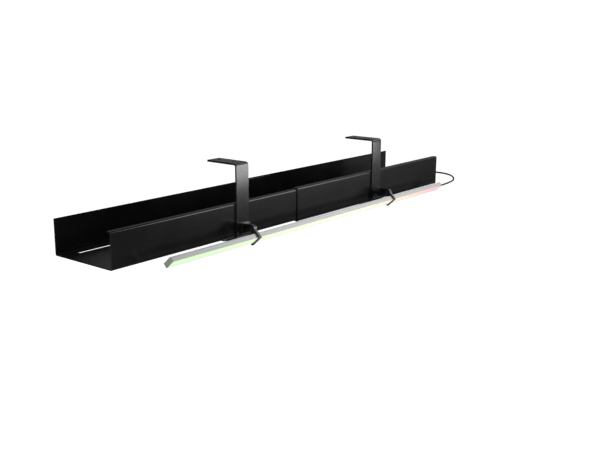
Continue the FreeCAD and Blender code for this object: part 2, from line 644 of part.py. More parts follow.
def put_away_cord():
    """The coil with its tie and the plug, lying on the right unit's floor."""
    floor = "Dim.floor_under - Dim.slide_gap"
    lift = "Dim.coil_lift"
    low, deep = "%s + %s" % (floor, lift), floor + " - Dim.through / 2"
    outer, inner = "Dim.coil_rad + Dim.coil_wide / 2", "Dim.coil_rad - Dim.coil_wide / 2"

    def ring(name, outside, inside, high, bottom):
        disc = rod(name + "_disc", outside, high, "Dim.coil_x", "Dim.coil_y", bottom)
        core = rod(name + "_core", inside, "2 * Dim.through", "Dim.coil_x", "Dim.coil_y", deep)
        return cut(name, disc, [core])

    node("cord_coil", ring("coil", outer, inner, "Dim.coil_high", low))
    around = ring("tie_around", "%s + %s" % (outer, lift), "%s - %s" % (inner, lift),
                  "Dim.coil_high + 2 * Dim.coil_lift", floor)
    strip = block("tie_strip", "2 * Dim.coil_rad", "Dim.tie_wide", "2 * Dim.through",
                  "Dim.coil_x - 2 * Dim.coil_rad", "Dim.coil_y - Dim.tie_wide / 2", deep)
    band = doc.addObject("Part::MultiCommon", "tie_band")
    band.Shapes = [around, strip]
    node("cord_tie", cut("tie", band, [ring("tie_inside", outer, inner, "Dim.coil_high", low)]))

    grip = block("plug_grip", "Dim.plug_length", "Dim.plug_wide", "Dim.plug_high",
                 "Dim.plug_x", "Dim.plug_y - Dim.plug_wide / 2", floor)
    node("plug_body", grip)
    shell_x = "Dim.plug_x + Dim.plug_length"
    shell_y = "Dim.plug_y - Dim.shell_wide / 2"
    shell_z = floor + " + (Dim.plug_high - Dim.shell_high) / 2"
    shell = block("shell_outer", "Dim.shell_length", "Dim.shell_wide", "Dim.shell_high",
                  shell_x, shell_y, shell_z)
    mouth = block("shell_mouth", "Dim.shell_length", "Dim.shell_wide - 2 * Dim.shell_wall",
                  "Dim.shell_high / 2 - Dim.shell_wall", shell_x + " + Dim.shell_tongue",
                  shell_y + " + Dim.shell_wall", shell_z + " + Dim.shell_high / 2")
    node("plug_shell", cut("shell_cut", shell, [mouth]))


ROWS = {
    "front": "Dim.front_face + Dim.slot_inset",
    "rear": "Dim.front_face + Dim.tray_width - Dim.slot_inset",
}
GROWS = {"left": "0", "right": "Dim.slide_gap + Dim.sheet_thick"}
STARTS = {"left": "Dim.left_end", "right": "Dim.right_start"}
CENTRES = {"left": "-Dim.hanger_x", "right": "Dim.hanger_x"}
for side in ("left", "right"):
    tray(side, STARTS[side], CENTRES[side], GROWS[side])
    hanger(side, CENTRES[side], GROWS[side])
    hanger_fasteners(side, CENTRES[side], GROWS[side])
    clip_base(side, CENTRES[side], GROWS[side])
    clip_fasteners(side, CENTRES[side], GROWS[side])
    claw(side, CENTRES[side])
slide_lock()
light_bar()
turned_gland()
tube("cord_lead", CORD_ROUTE, cell("cord_rad"))
put_away_cord()
tube("cord_tail", TAIL_ROUTE, cell("cord_rad"))
doc.recompute()

failed = [made.Name for made in doc.Objects if {"Invalid", "Error"} & set(made.State)]
if failed:
    raise RuntimeError("objects that failed: %s" % failed)
for made in nodes:
    if made.Shape.isNull() or not made.Shape.isValid() or not made.Shape.Solids:
        raise RuntimeError("%s has no valid solid" % made.Label)

os.makedirs("parts", exist_ok=True)
for made in nodes:
    made.Shape.exportStep("parts/%s.step" % made.Label)
    box = made.Shape.BoundBox
    print("%-24s solids %2d volume %10.1f  x %.1f..%.1f y %.1f..%.1f z %.1f..%.1f" % (
        made.Label, len(made.Shape.Solids), made.Shape.Volume,
        box.XMin, box.XMax, box.YMin, box.YMax, box.ZMin, box.ZMax))
print("nodes", len(nodes))
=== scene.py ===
import json
import math

import bmesh
import bpy
from mathutils import Matrix, Quaternion, Vector


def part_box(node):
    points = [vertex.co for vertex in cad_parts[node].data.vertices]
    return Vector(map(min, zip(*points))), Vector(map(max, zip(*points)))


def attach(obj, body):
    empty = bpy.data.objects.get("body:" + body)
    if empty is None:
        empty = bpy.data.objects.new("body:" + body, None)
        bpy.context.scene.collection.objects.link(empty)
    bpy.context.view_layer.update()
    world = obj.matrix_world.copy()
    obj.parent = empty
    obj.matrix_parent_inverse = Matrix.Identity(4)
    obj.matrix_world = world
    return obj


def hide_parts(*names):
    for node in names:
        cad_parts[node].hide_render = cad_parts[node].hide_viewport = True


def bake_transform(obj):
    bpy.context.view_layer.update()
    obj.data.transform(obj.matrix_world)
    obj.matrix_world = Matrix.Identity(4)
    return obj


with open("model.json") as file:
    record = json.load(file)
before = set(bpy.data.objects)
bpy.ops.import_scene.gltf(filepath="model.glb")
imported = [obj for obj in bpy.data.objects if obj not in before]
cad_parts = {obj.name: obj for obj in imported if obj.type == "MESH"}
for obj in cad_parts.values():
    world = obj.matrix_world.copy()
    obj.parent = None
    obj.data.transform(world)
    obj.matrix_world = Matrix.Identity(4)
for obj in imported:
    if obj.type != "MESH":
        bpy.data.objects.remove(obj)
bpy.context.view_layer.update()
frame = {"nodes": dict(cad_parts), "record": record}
mm = 0.001
nodes = frame["nodes"]
print("frame loaded,", len(nodes), "nodes")


def feed(tree, socket, value):  # a link from another node, or a fixed value
    if isinstance(value, bpy.types.NodeSocket):
        tree.links.new(value, socket)
    else:
        socket.default_value = value


def addNode(tree, kind, settings=None, **sockets):
    made = tree.nodes.new(kind)
    for name, value in (settings or {}).items():
        setattr(made, name, value)
    for name, value in sockets.items():
        feed(tree, made.inputs[name.replace("_", " ")], value)
    return made


def maths(tree, operation, first, second=0.0, clamp=False):
    made = addNode(tree, "ShaderNodeMath", {"operation": operation, "use_clamp": clamp})
    feed(tree, made.inputs[0], first)
    feed(tree, made.inputs[1], second)
    return made.outputs[0]


def vectorMaths(tree, operation, first, second):
    made = addNode(tree, "ShaderNodeVectorMath", {"operation": operation})
    feed(tree, made.inputs[0], first)
    feed(tree, made.inputs[1], second)
    return made.outputs


def fromTo(tree, value, low, high, newLow=0.0, newHigh=1.0):  # straight remap with clamped ends
    made = addNode(tree, "ShaderNodeMapRange")
    for socket, item in zip(made.inputs, (value, low, high, newLow, newHigh)):
        feed(tree, socket, item)
    return made.outputs[0]


def mixColour(tree, factor, first, second):  # each colour is a socket or its red, green and blue
    made = addNode(tree, "ShaderNodeMix", {"data_type": "RGBA"})
    feed(tree, made.inputs[0], factor)
    for socket, colour in ((made.inputs[6], first), (made.inputs[7], second)):
        feed(tree, socket, colour if isinstance(colour, bpy.types.NodeSocket) else (*colour, 1.0))
    return made.outputs[2]


def noise(tree, where, scale, detail):
    return addNode(tree, "ShaderNodeTexNoise", Vector=where, Scale=scale, Detail=detail).outputs[0]


def cells(tree, where, scale):
    return addNode(tree, "ShaderNodeTexVoronoi", Vector=where, Scale=scale).outputs[0]


def onObject(tree):  # object coordinates in metres
    return tree.nodes.new("ShaderNodeTexCoord").outputs["Object"]


def placed(tree, scale=(1, 1, 1)):
    made = addNode(tree, "ShaderNodeMapping", Vector=onObject(tree))
    made.inputs["Scale"].default_value = scale
    return made.outputs[0]


def fillRamp(tree, stops):  # a colour ramp from pairs of place and colour
    ramp = tree.nodes.new("ShaderNodeValToRGB")
    elements = ramp.color_ramp.elements
    while len(elements) < len(stops):
        elements.new(0.5)
    for element, (place, colour) in zip(elements, stops):
        element.position, element.color = place, (*colour, 1.0)
    return ramp


def grey(level):
    return (level, level, level)


def linear(*display):  # display values 0-255 to a scene colour
    shares = [value / 255 for value in display]
    return tuple(share / 12.92 if share <= 0.04045 else ((share + 0.055) / 1.055) ** 2.4 for share in shares)


def newGroup(name, takes, gives):
    group = bpy.data.node_groups.new(name, "ShaderNodeTree")
    for label, value in takes.items():
        socket = group.interface.new_socket(name=label, in_out="INPUT", socket_type="NodeSocketFloat")
        socket.default_value = value
    for label in gives:
        group.interface.new_socket(name=label, in_out="OUTPUT", socket_type="NodeSocketFloat")
    return group, group.nodes.new("NodeGroupInput").outputs, group.nodes.new("NodeGroupOutput").inputs


powderGrain = {"fineTimes": 3.1, "cellTimes": 1.7, "peelShare": 0.6, "cellShare": 0.15, "fleck": (0.62, 0.74)}


def powderGrainGroup(spec):  # orange peel with fine grit, in heights of 0 to 1
    group, take, give = newGroup("powderGrain", {"Grain": 900.0, "Grit": 0.35}, ["Height", "Fleck"])
    where = placed(group)
    peel = noise(group, where, take["Grain"], 2.0)
    fine = noise(group, where, maths(group, "MULTIPLY", take["Grain"], spec["fineTimes"]), 1.0)
    pits = cells(group, where, maths(group, "MULTIPLY", take["Grain"], spec["cellTimes"]))
    grit = maths(group, "MULTIPLY", fine, take["Grit"])
    height = maths(group, "ADD", maths(group, "MULTIPLY", peel, spec["peelShare"]), grit)
    height = maths(group, "ADD", height, maths(group, "MULTIPLY", pits, spec["cellShare"]))
    feed(group, give["Height"], height)
    feed(group, give["Fleck"], fromTo(group, fine, *spec["fleck"]))
    return group


edgeTouch = {"samples": 6, "bent": (0.985, 0.8), "patches": (0.35, 0.65), "least": 0.25}


def edgeTouchGroup(spec):  # 1 where an outside edge would rub bright
    group, take, give = newGroup("edgeTouch", {"Reach": 0.0012, "Breakup": 160.0}, ["Mask"])
    soft = addNode(group, "ShaderNodeBevel", {"samples": spec["samples"]}, Radius=take["Reach"])
    plain = group.nodes.new("ShaderNodeNewGeometry").outputs["Normal"]
    turned = vectorMaths(group, "DOT_PRODUCT", soft.outputs[0], plain)["Value"]
    bent = fromTo(group, turned, *spec["bent"])
    breakup = noise(group, placed(group), take["Breakup"], 3.0)
    patchy = fromTo(group, breakup, *spec["patches"], spec["least"], 1.0)
    feed(group, give["Mask"], maths(group, "MULTIPLY", bent, patchy, True))
    return group


dustVeil = {"up": (0.3, 1.0), "cloud": (0.3, 0.75), "specks": (0.4, 0.7), "speckScale": 1500.0, "least": 0.4}


def dustVeilGroup(spec):  # settles on faces that look up, thicker in soft patches
    group, take, give = newGroup("dustVeil", {"Amount": 0.3, "Patches": 18.0}, ["Mask"])
    plain = group.nodes.new("ShaderNodeNewGeometry").outputs["Normal"]
    up = fromTo(group, addNode(group, "ShaderNodeSeparateXYZ", Vector=plain).outputs[2], *spec["up"])
    where = placed(group)
    cloud = fromTo(group, noise(group, where, take["Patches"], 4.0), *spec["cloud"])
    specks = fromTo(group, noise(group, where, spec["speckScale"], 1.0), *spec["specks"], spec["least"], 1.0)
    veil = maths(group, "MULTIPLY", maths(group, "MULTIPLY", cloud, specks), up)
    feed(group, give["Mask"], maths(group, "MULTIPLY", veil, take["Amount"], True))
    return group


drawnLines = {"broadScale": 0.08, "streak": (0.3, 0.7)}


def drawnLinesGroup(spec):  # fine lines left by drawing or brushing, long in one direction
    group, take, give = newGroup("drawnLines", {"Along": 6.0, "Across": 2600.0}, ["Height", "Streak"])
    stretch = addNode(group, "ShaderNodeCombineXYZ", X=take["Along"], Y=take["Across"], Z=take["Across"])
    where = vectorMaths(group, "MULTIPLY", onObject(group), stretch.outputs[0])[0]
    feed(group, give["Height"], noise(group, where, 1.0, 3.0))
    feed(group, give["Streak"], fromTo(group, noise(group, where, spec["broadScale"], 1.0), *spec["streak"]))
    return group


rubbed = {"stretch": (1, 0.08, 1), "hair": (0.66, 0.7), "cloud": (0.3, 0.7)}


def rubbedGroup(spec):  # scattered short scratches and greasy clouds, for roughness
    group, take, give = newGroup("rubbed", {"Scale": 60.0, "Hairs": 900.0}, ["Cloud", "Hair"])
    cloud = noise(group, placed(group), take["Scale"], 4.0)
    hair = noise(group, placed(group, spec["stretch"]), take["Hairs"], 1.0)
    feed(group, give["Cloud"], fromTo(group, cloud, *spec["cloud"]))
    feed(group, give["Hair"], fromTo(group, hair, *spec["hair"]))
    return group


groups = {
    "powderGrain": powderGrainGroup(powderGrain),
    "edgeTouch": edgeTouchGroup(edgeTouch),
    "dustVeil": dustVeilGroup(dustVeil),
    "drawnLines": drawnLinesGroup(drawnLines),
    "rubbed": rubbedGroup(rubbed),
}


def useGroup(tree, name, **values):
    made = tree.nodes.new("ShaderNodeGroup")
    made.node_tree = groups[name]
    for label, value in values.items():
        made.inputs[label].default_value = value
    return made.outputs


def startMaterial(name, **sockets):
    material = bpy.data.materials.new(name)
    material.use_nodes = True
    tree = material.node_tree
    tree.nodes.clear()
    surface = addNode(tree, "ShaderNodeBsdfPrincipled", **sockets)
    output = tree.nodes.new("ShaderNodeOutputMaterial")
    tree.links.new(surface.outputs[0], output.inputs["Surface"])
    return material, tree, surface


def setBump(tree, surface, height, distance):
    bump = addNode(tree, "ShaderNodeBump", Height=height, Distance=distance, Strength=1.0)
    feed(tree, surface.inputs["Normal"], bump.outputs[0])


def clouded(tree, rub, ends):  # between two values, as the greasy clouds go
    return fromTo(tree, rub["Cloud"], 0.0, 1.0, *ends)


print("shared effects ready")


powder = {
    "tray": {"dark": 0.004, "light": 0.007, "edge": 0.03, "rough": (0.3, 0.4), "grain": 950.0,
             "peel": 0.006 * mm, "specular": 0.04, "coat": 0.54, "coatRough": 0.12},
    "hanger": {"dark": 0.005, "light": 0.008, "edge": 0.035, "rough": (0.26, 0.34), "grain": 1100.0,
               "peel": 0.004 * mm, "specular": 0.05, "coat": 1.0, "coatRough": 0.115},
    "dust": (0.05, 0.049, 0.046), "dustAmount": 0.16, "dustRough": 0.3, "fleck": 0.5, "clouds": 26.0,
}


def powderCoat(name, spec):
    material, tree, surface = startMaterial(name, Specular_IOR_Level=spec["specular"],
                                            Coat_Weight=spec["coat"], Coat_Roughness=spec["coatRough"])
    grain = useGroup(tree, "powderGrain", Grain=spec["grain"])
    edge = useGroup(tree, "edgeTouch")
    dust = useGroup(tree, "dustVeil", Amount=powder["dustAmount"])
    rub = useGroup(tree, "rubbed", Scale=powder["clouds"])
    base = mixColour(tree, rub["Cloud"], grey(spec["dark"]), grey(spec["light"]))
    base = mixColour(tree, maths(tree, "MULTIPLY", grain["Fleck"], powder["fleck"]), base, grey(spec["edge"]))
    base = mixColour(tree, edge["Mask"], base, grey(spec["edge"]))
    feed(tree, surface.inputs["Base Color"], mixColour(tree, dust["Mask"], base, powder["dust"]))
    dusty = maths(tree, "MULTIPLY", dust["Mask"], powder["dustRough"])
    feed(tree, surface.inputs["Roughness"], maths(tree, "ADD", clouded(tree, rub, spec["rough"]), dusty))
    setBump(tree, surface, grain["Height"], spec["peel"])
    return material


blackOxide = {"black": (0.028, 0.028, 0.031), "worn": (0.045, 0.043, 0.045), "edge": grey(0.2),
              "rough": (0.3, 0.5), "metal": 0.85, "bump": 0.01 * mm}


def blackOxideSteel(spec):
    material, tree, surface = startMaterial("blackOxideSteel", Metallic=spec["metal"])
    grain = useGroup(tree, "powderGrain", Grain=2200.0, Grit=0.2)
    edge = useGroup(tree, "edgeTouch", Reach=0.5 * mm, Breakup=900.0)
    rub = useGroup(tree, "rubbed", Scale=240.0)
    tone = mixColour(tree, rub["Cloud"], spec["black"], spec["worn"])
    feed(tree, surface.inputs["Base Color"], mixColour(tree, edge["Mask"], tone, spec["edge"]))
    feed(tree, surface.inputs["Roughness"], clouded(tree, rub, spec["rough"]))
    setBump(tree, surface, grain["Height"], spec["bump"])
    return material


zinc = {"bright": (0.62, 0.63, 0.64), "dull": (0.4, 0.41, 0.43), "edge": grey(0.8), "rough": (0.22, 0.45),
        "bump": 0.008 * mm}


def zincPlate(spec):
    material, tree, surface = startMaterial("zincPlate", Metallic=1.0)
    rub = useGroup(tree, "rubbed", Scale=420.0, Hairs=2500.0)
    edge = useGroup(tree, "edgeTouch", Reach=0.4 * mm, Breakup=1200.0)
    tone = mixColour(tree, rub["Cloud"], spec["bright"], spec["dull"])
    feed(tree, surface.inputs["Base Color"], mixColour(tree, edge["Mask"], tone, spec["edge"]))
    feed(tree, surface.inputs["Roughness"], clouded(tree, rub, spec["rough"]))
    setBump(tree, surface, rub["Hair"], spec["bump"])
    return material


clipGloss = {"black": (0.004, 0.004, 0.005), "haze": (0.008, 0.008, 0.009), "edge": (0.05, 0.05, 0.052),
             "edgeShare": 0.5, "dust": (0.1, 0.098, 0.094), "rough": (0.12, 0.24), "hairRough": 0.15,
             "coat": (0.5, 0.2), "coatRough": 0.05, "bump": 0.006 * mm}


def glossPlastic(spec):
    material, tree, surface = startMaterial("glossPlastic", Coat_Roughness=spec["coatRough"])
    rub = useGroup(tree, "rubbed", Scale=150.0, Hairs=1800.0)
    edge = useGroup(tree, "edgeTouch", Reach=0.5 * mm, Breakup=500.0)
    dust = useGroup(tree, "dustVeil", Amount=0.05, Patches=90.0)
    base = mixColour(tree, rub["Cloud"], spec["black"], spec["haze"])
    base = mixColour(tree, maths(tree, "MULTIPLY", edge["Mask"], spec["edgeShare"]), base, spec["edge"])
    feed(tree, surface.inputs["Base Color"], mixColour(tree, dust["Mask"], base, spec["dust"]))
    hairs = maths(tree, "MULTIPLY", rub["Hair"], spec["hairRough"])
    feed(tree, surface.inputs["Roughness"], maths(tree, "ADD", clouded(tree, rub, spec["rough"]), hairs))
    feed(tree, surface.inputs["Coat Weight"], clouded(tree, rub, spec["coat"]))
    setBump(tree, surface, rub["Hair"], spec["bump"])
    return material


anodised = {"bright": (0.66, 0.67, 0.67), "dull": (0.5, 0.51, 0.51), "edge": grey(0.85), "metal": 0.9,
            "lines": (0.3, 0.7), "rough": (0.36, 0.48), "bump": 0.006 * mm}


def anodisedAluminium(spec):
    material, tree, surface = startMaterial("anodisedAluminium", Metallic=spec["metal"])
    lines = useGroup(tree, "drawnLines")
    edge = useGroup(tree, "edgeTouch", Reach=0.5 * mm, Breakup=300.0)
    base = mixColour(tree, lines["Streak"], spec["bright"], spec["dull"])
    feed(tree, surface.inputs["Base Color"], mixColour(tree, edge["Mask"], base, spec["edge"]))
    feed(tree, surface.inputs["Roughness"], fromTo(tree, lines["Height"], *spec["lines"], *spec["rough"]))
    setBump(tree, surface, lines["Height"], spec["bump"])
    return material


glow = {
    # share of the bar's length from its left end, and the light's colour there
    "stops": [(0.0, linear(214, 252, 196)), (0.12, linear(220, 252, 198)), (0.28, linear(236, 252, 208)),
              (0.45, linear(250, 252, 224)), (0.62, linear(252, 249, 224)), (0.76, linear(254, 240, 212)),
              (0.84, linear(255, 226, 200)), (0.93, linear(255, 200, 198)), (1.0, linear(250, 184, 192))],
    "strength": 0.94, "ripple": 0.03, "spacing": 33.3 * mm, "between": grey(0.6),
    "milk": (grey(0.1), (0.14, 0.14, 0.135)), "milkScale": 900.0, "rough": 0.45, "bump": 0.01 * mm,
}


def glowingDiffuser(spec):
    low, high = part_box("light_diffuser")
    material, tree, surface = startMaterial("glowingDiffuser", Roughness=spec["rough"],
                                            Emission_Strength=spec["strength"])
    where = onObject(tree)
    x = addNode(tree, "ShaderNodeSeparateXYZ", Vector=where).outputs[0]
    ramp = fillRamp(tree, spec["stops"])
    feed(tree, ramp.inputs[0], fromTo(tree, x, low.x, high.x))
    # a faint ripple, brightest over each chip
    fromMiddle = maths(tree, "SUBTRACT", x, (low.x + high.x) / 2)
    wave = maths(tree, "COSINE", maths(tree, "MULTIPLY", fromMiddle, math.tau / spec["spacing"]))
    share = maths(tree, "ADD", maths(tree, "MULTIPLY", wave, spec["ripple"]), 1.0 - spec["ripple"])
    feed(tree, surface.inputs["Emission Color"], mixColour(tree, share, spec["between"], ramp.outputs[0]))
    milk = noise(tree, where, spec["milkScale"], 2.0)
    feed(tree, surface.inputs["Base Color"], mixColour(tree, milk, *spec["milk"]))
    setBump(tree, surface, milk, spec["bump"])
    return material


solder = {"white": (0.8, 0.8, 0.78), "dull": (0.7, 0.7, 0.68), "rough": 0.35, "clouds": 300.0,
          "bump": 0.01 * mm}


def solderMask(spec):
    material, tree, surface = startMaterial("solderMask", Roughness=spec["rough"])
    rub = useGroup(tree, "rubbed", Scale=spec["clouds"])
    feed(tree, surface.inputs["Base Color"], mixColour(tree, rub["Cloud"], spec["white"], spec["dull"]))
    setBump(tree, surface, rub["Cloud"], spec["bump"])
    return material


chip = {"yellow": (0.85, 0.78, 0.4), "deep": (0.78, 0.68, 0.3), "rough": 0.4, "clouds": 600.0,
        "bump": 0.02 * mm}


def phosphor(spec):
    material, tree, surface = startMaterial("phosphor", Roughness=spec["rough"])
    rub = useGroup(tree, "rubbed", Scale=spec["clouds"])
    feed(tree, surface.inputs["Base Color"], mixColour(tree, rub["Cloud"], spec["yellow"], spec["deep"]))
    setBump(tree, surface, rub["Cloud"], spec["bump"])
    return material


capGrey = {"light": (0.42, 0.45, 0.42), "dark": (0.34, 0.37, 0.34), "rough": (0.4, 0.52), "bump": 0.02 * mm}


def mouldedGrey(spec):
    material, tree, surface = startMaterial("mouldedGrey")
    grain = useGroup(tree, "powderGrain", Grain=2600.0)
    rub = useGroup(tree, "rubbed", Scale=200.0)
    feed(tree, surface.inputs["Base Color"], mixColour(tree, rub["Cloud"], spec["light"], spec["dark"]))
    feed(tree, surface.inputs["Roughness"], clouded(tree, rub, spec["rough"]))
    setBump(tree, surface, grain["Height"], spec["bump"])
    return material


jacket = {"black": grey(0.011), "rubbed": grey(0.02), "dust": (0.09, 0.088, 0.084), "rough": (0.34, 0.5),
          "bump": 0.02 * mm}


def cordJacket(spec):
    material, tree, surface = startMaterial("cordJacket")
    grain = useGroup(tree, "powderGrain", Grain=3200.0)
    rub = useGroup(tree, "rubbed", Scale=70.0)
    dust = useGroup(tree, "dustVeil", Amount=0.2, Patches=60.0)
    base = mixColour(tree, rub["Cloud"], spec["black"], spec["rubbed"])
    feed(tree, surface.inputs["Base Color"], mixColour(tree, dust["Mask"], base, spec["dust"]))
    feed(tree, surface.inputs["Roughness"], clouded(tree, rub, spec["rough"]))
    setBump(tree, surface, grain["Height"], spec["bump"])
    return material


tieCloth = {"deep": grey(0.006), "loops": (0.03, 0.03, 0.031), "rough": 0.9, "sheen": 0.5,
            "loopScale": 1700.0, "fuzzScale": 4200.0, "fuzzShare": 0.6, "bump": 0.3 * mm}


def hookLoop(spec):
    material, tree, surface = startMaterial("hookLoop", Roughness=spec["rough"], Sheen_Weight=spec["sheen"])
    where = placed(tree)
    loops = cells(tree, where, spec["loopScale"])
    fuzz = maths(tree, "MULTIPLY", noise(tree, where, spec["fuzzScale"], 3.0), spec["fuzzShare"])
    feed(tree, surface.inputs["Base Color"], mixColour(tree, loops, spec["deep"], spec["loops"]))
    setBump(tree, surface, maths(tree, "ADD", loops, fuzz), spec["bump"])
    return material


nickel = {"bright": (0.66, 0.65, 0.62), "dull": (0.56, 0.55, 0.53), "edge": (0.85, 0.84, 0.82),
          "lines": (0.3, 0.7), "rough": (0.16, 0.3), "bump": 0.005 * mm}


def nickelShell(spec):
    material, tree, surface = startMaterial("nickelShell", Metallic=1.0)
    lines = useGroup(tree, "drawnLines", Along=30.0, Across=2600.0)
    edge = useGroup(tree, "edgeTouch", Reach=0.4 * mm, Breakup=900.0)
    base = mixColour(tree, lines["Streak"], spec["bright"], spec["dull"])
    feed(tree, surface.inputs["Base Color"], mixColour(tree, edge["Mask"], base, spec["edge"]))
    feed(tree, surface.inputs["Roughness"], fromTo(tree, lines["Height"], *spec["lines"], *spec["rough"]))
    setBump(tree, surface, lines["Height"], spec["bump"])
    return material


finishes = {
    "tray_black": powderCoat("trayBlack", powder["tray"]),
    "hanger_black": powderCoat("hangerBlack", powder["hanger"]),
    "screw_black": blackOxideSteel(blackOxide),
    "nut_steel": zincPlate(zinc),
    "clip_plastic": glossPlastic(clipGloss),
    "lamp_aluminium": anodisedAluminium(anodised),
    "lamp_diffuser": glowingDiffuser(glow),
    "board_white": solderMask(solder),
    "chip_yellow": phosphor(chip),
    "cap_grey": mouldedGrey(capGrey),
    "cord_black": cordJacket(jacket),
    "tie_black": hookLoop(tieCloth),
    "plug_metal": nickelShell(nickel),
}
print("finishes ready:", len(finishes))


# how round the edges of the designed parts are, in millimetres; "other" is for screws, nuts and washers
edgeRound = {
    "tray_left": 0.3, "tray_right": 0.3, "hanger_left": 0.5, "hanger_right": 0.5,
    "clip_base_left": 0.7, "clip_base_right": 0.7, "clip_claw_left": 0.4, "clip_claw_right": 0.4,
    "light_housing": 0.15, "light_diffuser": 0.25, "led_board": 0.1, "led_chips": 0.15,
    "end_cap_left": 0.35, "end_cap_right": 0.35, "other": 0.2,
}
rounding = {"weld": 0.002 * mm, "segments": 3, "sharperThan": 40, "flatWeight": 60}


def roundEdges(thing, radius, spec):
    mesh = thing.data
    for name in ("custom_normal", "sharp_edge", "sharp_face"):
        if name in mesh.attributes:
            mesh.attributes.remove(mesh.attributes[name])
    mesh.shade_smooth()
    weld = thing.modifiers.new("weld", "WELD")
    weld.merge_threshold = spec["weld"]
    bevel = thing.modifiers.new("roundedEdges", "BEVEL")
    bevel.width = radius
    bevel.segments = spec["segments"]
    bevel.limit_method = "ANGLE"
    bevel.angle_limit = math.radians(spec["sharperThan"])
    bevel.use_clamp_overlap = True
    flat = thing.modifiers.new("flatFaces", "WEIGHTED_NORMAL")
    flat.weight = spec["flatWeight"]
    flat.keep_sharp = False


slots = {part["node"]: part["material_slot"] for part in frame["record"]["subparts"]}
for name, thing in nodes.items():
    thing.data.materials.clear()
    thing.data.materials.append(finishes[slots[name]])
    roundEdges(thing, edgeRound.get(name, edgeRound["other"]) * mm, rounding)
print("designed parts finished")


def linkMesh(name, work, finish, smooth=True):
    work.normal_update()
    mesh = bpy.data.meshes.new(name)
    work.to_mesh(mesh)
    work.free()
    if smooth:
        mesh.shade_smooth()
    mesh.materials.append(finishes[finish])
    thing = bpy.data.objects.new(name, mesh)
    bpy.context.scene.collection.objects.link(thing)
    return thing


def skin(work, rings):  # faces between rings of equal count, and one over each end
    rows = [[work.verts.new(point) for point in ring] for ring in rings]
    for low, high in zip(rows, rows[1:]):
        count = len(low)
        for i in range(count):
            j = (i + 1) % count
            work.faces.new((low[i], low[j], high[j], high[i]))
    work.faces.new(list(reversed(rows[0])))
    work.faces.new(rows[-1])


def aheadAt(points, i):  # the way a line of points runs at one of them
    return (points[min(i + 1, len(points) - 1)] - points[max(i - 1, 0)]).normalized()


def roundSection(sides):  # angles of a round section's corners
    return [math.tau * i / sides for i in range(sides)]


def quarter(start, count):  # angles of a quarter turn that begins at start, in degrees
    return [math.radians(start + 90 * i / count) for i in range(count + 1)]


def carried(points):  # a frame that turns as little as it can along a line
    frames = []
    side = None
    for i, here in enumerate(points):
        ahead = aheadAt(points, i)
        if side is None:
            side = ahead.cross(Vector((0, 0, 1))).normalized()
        else:
            side = (side - ahead * side.dot(ahead)).normalized()
        frames.append((here, side, side.cross(ahead)))
    return frames


def curvePoints(name, controls, steps):  # points along a smooth line through the control cage
    curve = bpy.data.curves.new(name, "CURVE")
    curve.dimensions = "3D"
    curve.resolution_u = steps
    spline = curve.splines.new("NURBS")
    spline.points.add(len(controls) - 1)
    for point, place in zip(spline.points, controls):
        point.co = (*place, 1.0)
    spline.order_u = 3
    spline.use_endpoint_u = True
    holder = bpy.data.objects.new(name, curve)
    line = bpy.data.meshes.new_from_object(holder)
    points = [vertex.co.copy() for vertex in line.vertices]
    bpy.data.objects.remove(holder)
    bpy.data.curves.remove(curve)
    bpy.data.meshes.remove(line)
    return points


cord = {
    "radius": 1.7 * mm, "length": 1.45, "sides": 16, "steps": 6,
    "lead": [
        (0.3710, -0.0624, -0.1092), (0.3970, -0.0624, -0.1092), (0.4290, -0.0630, -0.1055),
        (0.4530, -0.0425, -0.1015), (0.4550, -0.0140, -0.0992), (0.4340, 0.0070, -0.0975),
        (0.4030, 0.0135, -0.0975), (0.3730, 0.0100, -0.1040), (0.3450, 0.0056, -0.1088),
        (0.3160, 0.0042, -0.1094),
    ],
    "tail": [(0.3100, 0.0552, -0.1066), (0.3330, 0.0520, -0.1083), (0.3550, 0.0520, -0.1083)],
    # the coil: its innermost turn, the step between turns and the heights of its two layers
    "middle": (0.288, 0.030), "inside": 15.15 * mm, "pitch": 3.5 * mm, "rings": 4,
    "layers": (-0.1094, -0.1059), "turns": 8.5, "perTurn": 14, "stepFrom": 0.75,
    "bulge": 1.013,  # the smooth line cuts the cage's corners by this much
}


def ringOf(spec, turn):  # which ring a whole turn lies on, 0 the innermost
    last = spec["rings"] - 1
    return last - turn if turn <= last else min(turn - spec["rings"], last)


def coilPoints(spec):  # inwards on the lower layer, outwards on the upper one
    points = []
    last = spec["rings"] - 1
    low, high = spec["layers"]
    x, y = spec["middle"]
    for step in range(int(spec["turns"] * spec["perTurn"]) + 1):
        turn = step / spec["perTurn"]
        whole = min(int(turn), 2 * spec["rings"] - 1)
        change = min(max((turn - whole - spec["stepFrom"]) / (1 - spec["stepFrom"]), 0.0), 1.0)
        change = change * change * (3 - 2 * change)
        ring = ringOf(spec, whole) + (ringOf(spec, whole + 1) - ringOf(spec, whole)) * change
        climbed = 0.0 if whole < last else change if whole == last else 1.0
        reach = (spec["inside"] + ring * spec["pitch"]) * spec["bulge"]
        angle = -math.pi / 2 - turn * math.tau
        height = low + (high - low) * climbed
        points.append((x + reach * math.cos(angle), y + reach * math.sin(angle), height))
    return points


def makeCord(spec):
    controls = spec["lead"] + coilPoints(spec) + spec["tail"]
    line = curvePoints("cordLine", controls, spec["steps"])
    rings = [[here + spec["radius"] * (side * math.cos(a) + up * math.sin(a))
              for a in roundSection(spec["sides"])] for here, side, up in carried(line)]
    work = bmesh.new()
    skin(work, rings)
    thing = linkMesh("cord", work, "cord_black")
    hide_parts("cord_lead", "cord_coil", "cord_tail")
    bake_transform(thing)
    return thing, line


cordPiece, cordLine = makeCord(cord)
cordLong = sum((b - a).length for a, b in zip(cordLine, cordLine[1:]))
print("cord laid, %.3f m" % cordLong)


